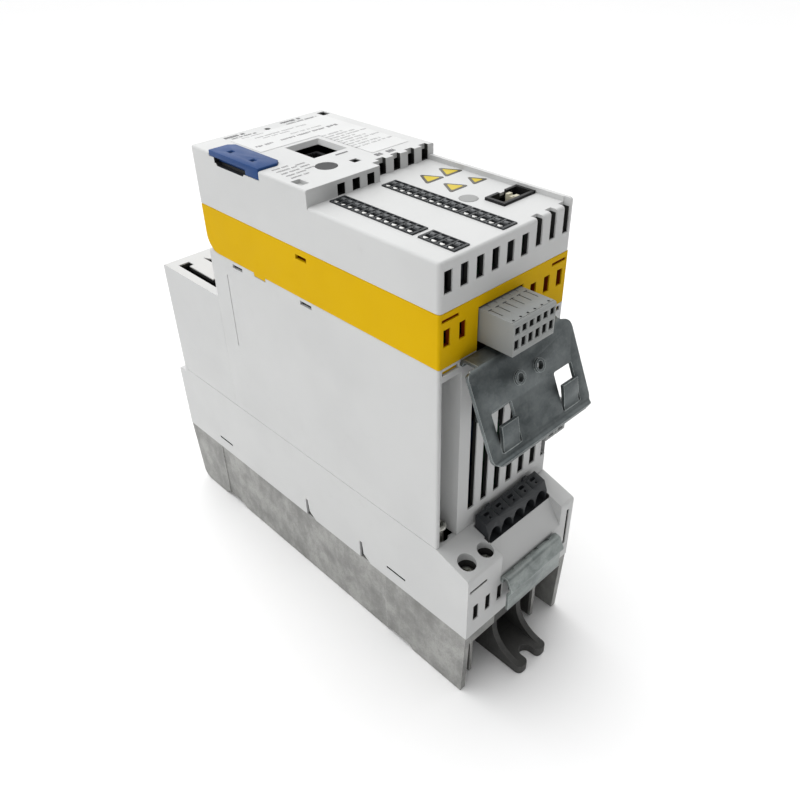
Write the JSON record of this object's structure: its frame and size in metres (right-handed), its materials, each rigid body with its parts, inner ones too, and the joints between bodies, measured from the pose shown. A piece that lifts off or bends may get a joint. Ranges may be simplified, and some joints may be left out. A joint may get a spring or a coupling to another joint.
{
  "type": "servo drive",
  "caption": "Book-size servo drive on a finned heatsink, with push-in terminals, a safety plug, a memory module and a shield bracket.",
  "frame": {"origin": "centre of the mounting face, under the middle of the base", "axes": "+X towards the connector end, +Z towards the front panel, +Y across the book"},
  "size_m": [0.2396, 0.07, 0.213],
  "materials": {
    "housing_white": "fine satin moulding, light grey white",
    "frame_yellow": "fine satin moulding, signal yellow",
    "module_blue": "satin moulding, mid blue",
    "cast_aluminium": "raw die casting with flow marks",
    "galvanised_sheet": "zinc plated sheet, dull and mottled",
    "terminal_dark": "dark grey moulding",
    "plug_grey": "mid grey moulding",
    "socket_black": "black moulding",
    "jumper_cream": "cream moulding",
    "spring_steel": "bright strip",
    "contact_brass": "plated contact",
    "zinc_screw": "bright zinc plated",
    "print_film": "thin printed film",
    "sticker_yellow": "printed sticker with a dark border",
    "window_grey": "smooth grey lens",
    "clear_pipe": "clear moulding",
    "circuit_green": "solder mask over glass laminate",
    "component_black": "moulded component bodies",
    "capacitor_sleeve": "shrink sleeve",
    "choke_winding": "enamelled copper on a ring core",
    "relay_case": "moulded case",
    "pad_grey": "filled silicone"
  },
  "bodies": {
    "drive": {"heatsink": "cast_aluminium", "base_housing": "housing_white", "main_housing": "housing_white", "rear_housing": "housing_white", "safety_frame": "frame_yellow", "front_cover": "housing_white", "diagnostic_socket": "socket_black", "diagnostic_contacts": "contact_brass", "status_window": "window_grey", "light_pipe": "clear_pipe", "status_led": "clear_pipe", "blanking_disc": "window_grey", "label_film": "print_film", "triangle_stickers": "sticker_yellow", "option_header": "socket_black", "option_pins": "contact_brass", "safety_header": "socket_black", "safety_header_pins": "contact_brass", "shield_bracket": "galvanised_sheet", "motor_header": "socket_black", "clamp_plate": "galvanised_sheet", "foot_screws": "zinc_screw", "earth_screw": "zinc_screw", "heatsink_screws": "zinc_screw", "thermal_pad": "pad_grey", "power_module": "component_black", "power_board": "circuit_green", "dc_link_capacitors": "capacitor_sleeve", "filter_choke": "choke_winding", "filter_capacitors": "relay_case", "precharge_relay": "relay_case", "current_sensors": "component_black", "supply_transformer": "component_black", "mains_terminal": "terminal_dark", "mains_clamps": "spring_steel", "riser_board": "circuit_green", "riser_connectors": "socket_black", "safety_board": "circuit_green", "stack_connector": "socket_black", "control_board": "circuit_green", "board_spacers": "spring_steel", "module_socket": "socket_black", "logic_chips": "component_black", "control_terminal_a1": "terminal_dark", "control_clamps_a1": "spring_steel", "control_terminal_a2": "terminal_dark", "control_clamps_a2": "spring_steel", "control_terminal_b1": "terminal_dark", "control_clamps_b1": "spring_steel", "control_terminal_b2": "terminal_dark", "control_clamps_b2": "spring_steel", "brake_header": "socket_black", "brake_board": "circuit_green"},
    "memory_card": {"memory_module": "module_blue"},
    "safety_connector": {"safety_plug": "plug_grey", "safety_plug_clamps": "spring_steel"},
    "motor_connector": {"motor_plug": "terminal_dark", "motor_clamps": "spring_steel"},
    "brake_connector": {"brake_plug": "plug_grey"},
    "jumper": {"jumper_cap": "jumper_cream"}
  },
  "joints": [
    {"name": "memory_module_pull", "type": "slide", "parent": "drive", "child": "memory_card", "axis": [0, 0, 1], "range_m": [0, 0.025]},
    {"name": "safety_plug_pull", "type": "slide", "parent": "drive", "child": "safety_connector", "axis": [1, 0, 0], "range_m": [0, 0.025]},
    {"name": "motor_plug_pull", "type": "slide", "parent": "drive", "child": "motor_connector", "axis": [0, 0, 1], "range_m": [0, 0.022]},
    {"name": "brake_plug_pull", "type": "slide", "parent": "drive", "child": "brake_connector", "axis": [1, 0, 0], "range_m": [0, 0.02]},
    {"name": "jumper_pull", "type": "slide", "parent": "drive", "child": "jumper", "axis": [0, 0, 1], "range_m": [0, 0.012]}
  ]
}
